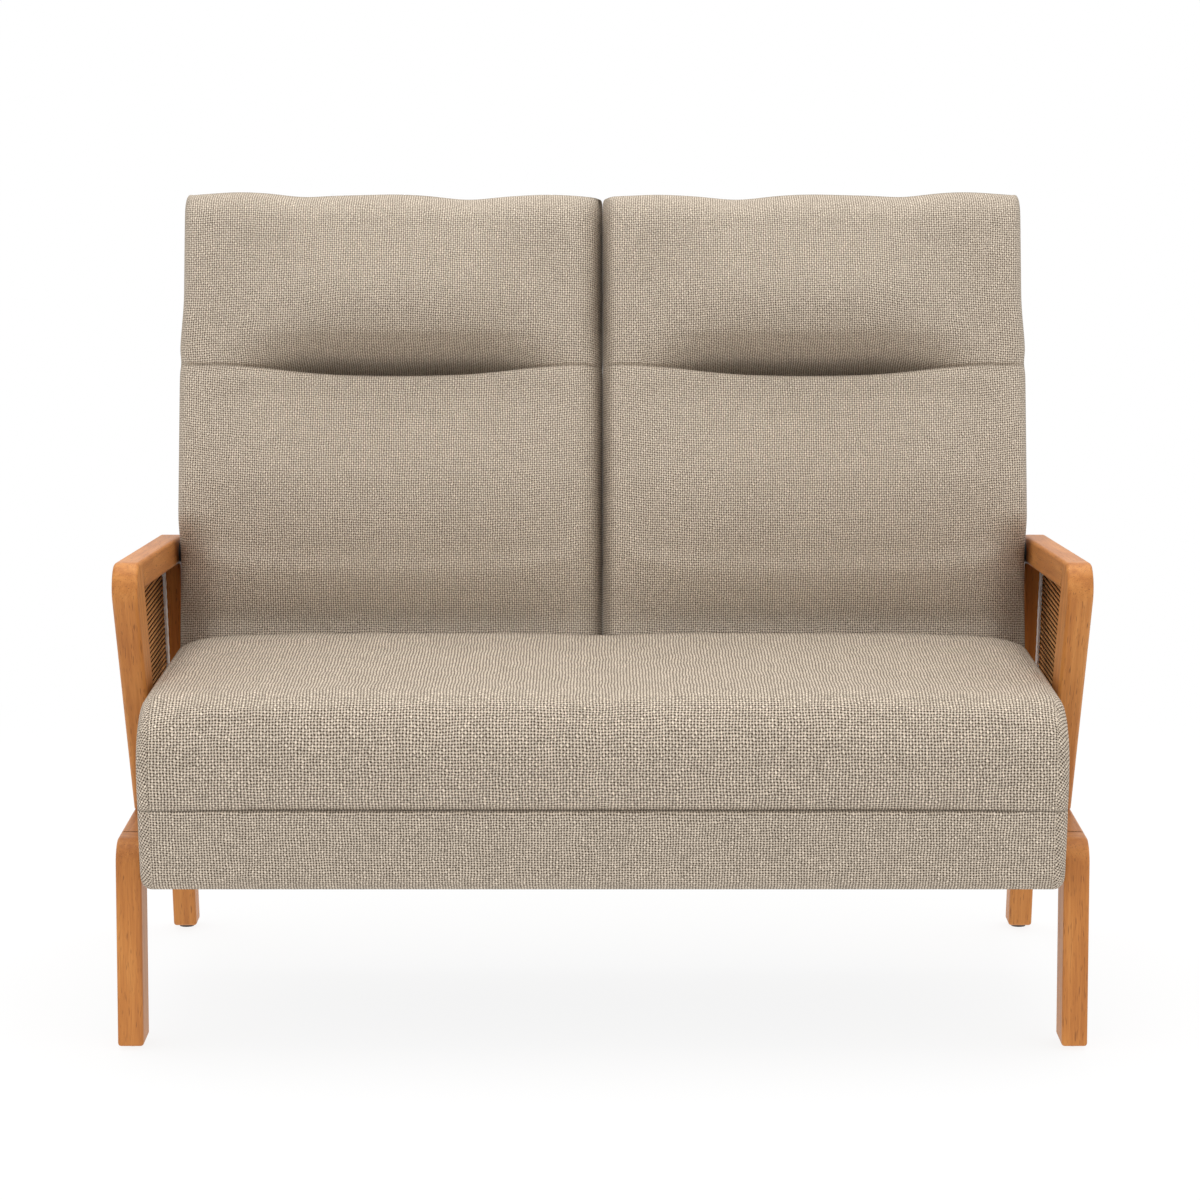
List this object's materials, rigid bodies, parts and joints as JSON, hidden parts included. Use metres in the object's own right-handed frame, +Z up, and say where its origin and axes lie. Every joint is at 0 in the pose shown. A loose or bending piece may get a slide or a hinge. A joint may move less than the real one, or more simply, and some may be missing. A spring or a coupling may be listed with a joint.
{
  "type": "high back settee",
  "caption": "High back upholstered settee with timber side frames, woven cord side panels and tucked head pillows.",
  "frame": {"origin": "on the floor, at the middle of the settee's footprint", "axes": "+X to the right seen from the front, +Y towards the back, +Z up; the front faces -Y"},
  "size_m": [1.2, 0.799, 1.033],
  "materials": {
    "oak_timber": "satin, clear oiled, fine straight grain",
    "cover_cloth": "matt chunky plain weave with slubs",
    "woven_cord": "matt twisted cord, woven in bands",
    "bead_metal": "satin",
    "frame_softwood": "sawn, unfinished",
    "foam": "open cell foam, matt",
    "webbing": "matt woven elastic",
    "dust_cloth": "matt non-woven",
    "zinc_steel": "bright zinc",
    "insert_brass": "turned",
    "glide_plastic": "matt",
    "spacer_rubber": "matt"
  },
  "bodies": {
    "root": {"arm_rail_left": "oak_timber", "arm_rail_right": "oak_timber", "arm_post_left": "oak_timber", "arm_post_right": "oak_timber", "side_rail_left": "oak_timber", "side_rail_right": "oak_timber", "front_leg_left": "oak_timber", "front_leg_right": "oak_timber", "rear_leg_left": "oak_timber", "rear_leg_right": "oak_timber", "woven_panel_left": "woven_cord", "woven_panel_right": "woven_cord", "panel_beads_left": "bead_metal", "panel_beads_right": "bead_metal", "frame_dowels_left": "frame_softwood", "frame_dowels_right": "frame_softwood", "floor_glides": "glide_plastic", "seat_front_rail": "frame_softwood", "seat_back_rail": "frame_softwood", "seat_side_rail_left": "frame_softwood", "seat_side_rail_right": "frame_softwood", "seat_centre_rail": "frame_softwood", "seat_corner_blocks": "frame_softwood", "seat_straps": "webbing", "seat_foam": "foam", "seat_cover": "cover_cloth", "seat_dust_cover": "dust_cloth", "seat_bolts": "zinc_steel", "threaded_inserts": "insert_brass", "frame_spacers": "spacer_rubber", "back_stiles_left": "frame_softwood", "back_stiles_right": "frame_softwood", "back_rails_left": "frame_softwood", "back_rails_right": "frame_softwood", "back_straps_left": "webbing", "back_straps_right": "webbing", "back_foam_left": "foam", "back_foam_right": "foam", "head_pad_left": "foam", "head_pad_right": "foam", "back_cover_left": "cover_cloth", "back_cover_right": "cover_cloth", "back_foot_bolts": "zinc_steel", "back_joining_bolts": "zinc_steel", "joining_nuts": "zinc_steel", "arm_bolts": "zinc_steel", "washers": "zinc_steel"}
  },
  "joints": []
}
